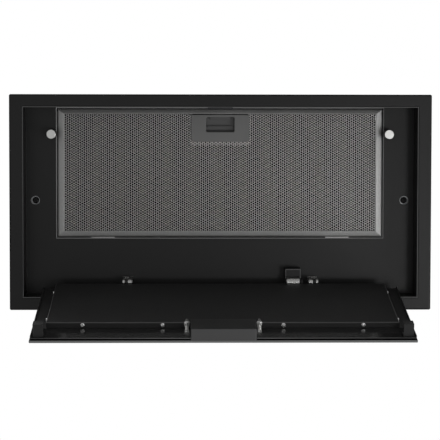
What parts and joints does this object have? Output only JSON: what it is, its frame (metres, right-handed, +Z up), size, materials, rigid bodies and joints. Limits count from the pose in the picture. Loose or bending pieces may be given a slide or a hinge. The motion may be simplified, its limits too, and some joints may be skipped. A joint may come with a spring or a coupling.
{
  "type": "range hood insert",
  "caption": "Built-in range hood insert with blower, duct collar, grease filter, side clamps and a hinged glass suction panel hanging open.",
  "frame": {"origin": "centre of the cabinet cut-out, in the plane where the trim flange meets the cabinet's underside", "axes": "+Z up towards the duct, -Y towards the cook, +X to the right seen from above with the cook's side at the bottom"},
  "size_m": [0.5312, 0.2862, 0.4991],
  "materials": {
    "black_enamel": "satin black powder coat",
    "panel_black": "fine-grained black coat, a little glossier",
    "zinc_sheet": "zinc-coated sheet, dull",
    "bright_zinc": "bright zinc plate",
    "screw_steel": "zinc-plated screws",
    "black_oxide": "blackened screws",
    "spring_steel": "plain spring steel",
    "filter_aluminium": "brushed, rolled strip",
    "mesh_aluminium": "fine expanded mesh",
    "latch_plastic": "grey moulded plastic",
    "black_plastic": "moulded, fine texture",
    "control_plastic": "dark grey, semi-gloss",
    "blower_plastic": "moulded, glass-filled",
    "gland_plastic": "moulded nylon",
    "black_glass": "black-backed, polished face",
    "bond_tape": "foam tape and sealant",
    "bush_rubber": "moulded",
    "cable_jacket": "smooth jacket",
    "motor_steel": "pressed case",
    "shaft_steel": "ground",
    "circuit_board": "solder mask",
    "capacitor_case": "pale grey",
    "magnet_steel": "nickel plate"
  },
  "bodies": {
    "hood": {"trim_frame": "black_enamel", "casing_wrap": "zinc_sheet", "side_panel_left": "zinc_sheet", "side_panel_right": "zinc_sheet", "recess_pan": "black_enamel", "motor_housing": "zinc_sheet", "top_plate": "zinc_sheet", "duct_collar": "black_plastic", "damper_pin": "shaft_steel", "casing_screws": "screw_steel", "scroll_wrap": "blower_plastic", "scroll_side_left": "blower_plastic", "scroll_side_right": "blower_plastic", "motor_body": "motor_steel", "motor_bracket": "motor_steel", "motor_bushes": "bush_rubber", "capacitor": "capacitor_case", "power_box": "blower_plastic", "power_box_cover": "blower_plastic", "power_board": "circuit_board", "terminal_block": "capacitor_case", "cable_gland": "gland_plastic", "clamp_bracket_left": "zinc_sheet", "clamp_bracket_right": "zinc_sheet", "clamp_screws": "black_oxide", "magnet_posts": "black_plastic", "magnet_discs": "magnet_steel", "strike_spring": "spring_steel", "hinge_bracket_left": "bright_zinc", "hinge_bracket_right": "bright_zinc", "hinge_pins": "shaft_steel", "cable_outlet": "black_plastic", "cable_sleeve": "bright_zinc", "panel_cable": "cable_jacket"},
    "rotor": {"impeller": "blower_plastic", "motor_shaft": "shaft_steel", "impeller_nut": "screw_steel"},
    "flap_front": {"damper_flap_front": "black_plastic"},
    "flap_rear": {"damper_flap_rear": "black_plastic"},
    "carrier_left": {"clamp_carrier_left": "bright_zinc"},
    "carrier_right": {"clamp_carrier_right": "bright_zinc"},
    "wing_left": {"clamp_wing_left": "spring_steel"},
    "wing_right": {"clamp_wing_right": "spring_steel"},
    "filter": {"filter_frame": "filter_aluminium", "filter_mesh_front": "mesh_aluminium", "filter_mesh_back": "mesh_aluminium", "latch_plate": "latch_plastic"},
    "latch": {"latch_slider": "latch_plastic", "latch_spring": "spring_steel"},
    "panel": {"panel_glass": "black_glass", "glass_bond": "bond_tape", "panel_tray": "panel_black", "panel_cover": "panel_black", "control_housing": "control_plastic", "control_board": "circuit_board", "control_clips": "bright_zinc", "hinge_leaf_left": "panel_black", "hinge_leaf_right": "panel_black", "strikers": "panel_black", "panel_screws": "screw_steel"}
  },
  "joints": [
    {"name": "panel_hinge", "type": "hinge", "parent": "hood", "child": "panel", "pos_m": [0, 0.1019, 0.0106], "axis": [1, 0, 0], "range_deg": [-100.6, 0]},
    {"name": "filter_swing", "type": "hinge", "parent": "hood", "child": "filter", "pos_m": [0, 0.048, 0.0365], "axis": [1, 0, 0], "range_deg": [0, 70], "deforming": ["strike_spring"]},
    {"name": "filter_latch", "type": "slide", "parent": "filter", "child": "latch", "axis": [0, 1, 0], "range_m": [0, 0.003], "stiffness_N_per_m": 400, "springref_m": -0.002, "deforming": ["latch_spring"]},
    {"name": "impeller_spin", "type": "hinge", "parent": "hood", "child": "rotor", "pos_m": [0, -0.03, 0.16], "axis": [1, 0, 0], "continuous": true},
    {"name": "damper_front", "type": "hinge", "parent": "hood", "child": "flap_front", "pos_m": [0, 0.031, 0.2769], "axis": [-1, 0, 0], "range_deg": [0, 75]},
    {"name": "damper_rear", "type": "hinge", "parent": "hood", "child": "flap_rear", "pos_m": [0, 0.031, 0.2769], "axis": [1, 0, 0], "range_deg": [0, 75]},
    {"name": "clamp_travel_left", "type": "slide", "parent": "hood", "child": "carrier_left", "axis": [0, 0, 1], "range_m": [-0.012, 0]},
    {"name": "clamp_travel_right", "type": "slide", "parent": "hood", "child": "carrier_right", "axis": [0, 0, 1], "range_m": [-0.012, 0]},
    {"name": "clamp_fold_left", "type": "hinge", "parent": "carrier_left", "child": "wing_left", "pos_m": [-0.2545, 0, 0.068], "axis": [0, -1, 0], "range_deg": [0, 14], "stiffness_Nm_per_rad": 0.05, "springref_deg": -17.19},
    {"name": "clamp_fold_right", "type": "hinge", "parent": "carrier_right", "child": "wing_right", "pos_m": [0.2545, 0, 0.068], "axis": [0, 1, 0], "range_deg": [0, 14], "stiffness_Nm_per_rad": 0.05, "springref_deg": -17.19}
  ]
}
